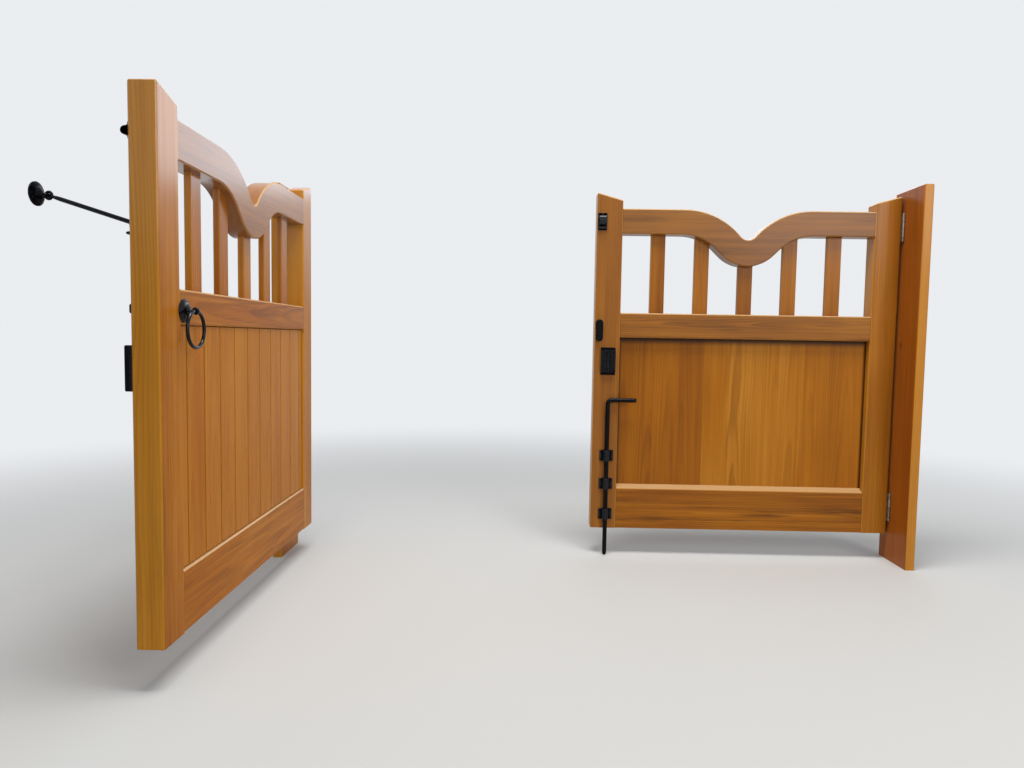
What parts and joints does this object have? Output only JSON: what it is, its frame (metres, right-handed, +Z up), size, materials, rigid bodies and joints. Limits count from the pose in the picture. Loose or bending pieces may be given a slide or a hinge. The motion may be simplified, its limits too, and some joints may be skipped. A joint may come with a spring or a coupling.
{
  "type": "double driveway gate",
  "caption": "Pair of boarded timber driveway gates with dipped swan-neck top rails, hung between two board posts, one leaf held open by a cabin hook and one bolted shut",
  "frame": {"origin": "On the flat street face of the left post, in the middle of the post's width and at ground level", "axes": "X runs along the opening from the left post to the right post, Y points out to the street, Z is up"},
  "size_m": [2.478, 1.158, 1.335],
  "materials": {
    "stained_timber": "honey-orange translucent wood stain, satin, over planed softwood",
    "black_ironwork": "black satin powder coat on steel",
    "hinge_steel": "bright zinc-plated steel, dulled by weather",
    "bolt_steel": "bright zinc-plated round rod"
  },
  "bodies": {
    "posts": {"left_post": "stained_timber", "right_post": "stained_timber", "left_upper_hinge_post_half": "hinge_steel", "left_lower_hinge_post_half": "hinge_steel", "right_upper_hinge_post_half": "hinge_steel", "right_lower_hinge_post_half": "hinge_steel", "wall_rose": "black_ironwork"},
    "left_leaf": {"left_meeting_stile": "stained_timber", "left_hanging_stile": "stained_timber", "left_top_rail": "stained_timber", "left_middle_rail": "stained_timber", "left_bottom_rail": "stained_timber", "left_boarded_panel": "stained_timber", "left_slats": "stained_timber", "left_upper_hinge_leaf_half": "hinge_steel", "left_lower_hinge_leaf_half": "hinge_steel", "ring_rose": "black_ironwork", "latch_bar": "black_ironwork", "latch_guide": "black_ironwork", "lock_case": "black_ironwork", "tower_bolt_plate": "black_ironwork", "hook_eye": "black_ironwork"},
    "right_leaf": {"right_meeting_stile": "stained_timber", "right_hanging_stile": "stained_timber", "right_top_rail": "stained_timber", "right_middle_rail": "stained_timber", "right_bottom_rail": "stained_timber", "right_boarded_panel": "stained_timber", "right_slats": "stained_timber", "right_upper_hinge_leaf_half": "hinge_steel", "right_lower_hinge_leaf_half": "hinge_steel", "tower_bolt_keep": "black_ironwork", "latch_keep": "black_ironwork", "lock_keep": "black_ironwork", "drop_bolt_lower_keeper": "black_ironwork", "drop_bolt_middle_keeper": "black_ironwork", "drop_bolt_upper_keeper": "black_ironwork"},
    "ring_spindle": {"ring_boss": "black_ironwork"},
    "ring": {"ring_handle": "black_ironwork"},
    "tower_rod": {"tower_bolt_rod": "bolt_steel"},
    "drop_rod": {"drop_bolt": "black_ironwork"},
    "hook": {"cabin_hook": "black_ironwork"}
  },
  "joints": [
    {"name": "left_swing", "type": "hinge", "parent": "posts", "child": "left_leaf", "pos_m": [0.02, -0.069, 0], "axis": [0, 0, 1], "range_deg": [0, 90]},
    {"name": "right_swing", "type": "hinge", "parent": "posts", "child": "right_leaf", "pos_m": [2.208, -0.069, 0], "axis": [0, 0, 1], "range_deg": [0, 90]},
    {"name": "ring_turn", "type": "hinge", "parent": "left_leaf", "child": "ring_spindle", "pos_m": [0.089, -1.049, 0.84], "axis": [1, 0, 0], "range_deg": [-40, 40]},
    {"name": "ring_swing", "type": "hinge", "parent": "ring_spindle", "child": "ring", "pos_m": [0.116, -1.049, 0.84], "axis": [0, -1, 0], "range_deg": [0, 80]},
    {"name": "tower_bolt_slide", "type": "slide", "parent": "left_leaf", "child": "tower_rod", "axis": [0, -1, 0], "range_m": [0, 0.026]},
    {"name": "drop_bolt_slide", "type": "slide", "parent": "right_leaf", "child": "drop_rod", "axis": [0, 0, 1], "range_m": [0, 0.075]},
    {"name": "cabin_hook_lift", "type": "hinge", "parent": "posts", "child": "hook", "pos_m": [-0.203, -1.066, 1.091], "axis": [-0.1557, -0.9878, 0], "range_deg": [0, 75]}
  ]
}
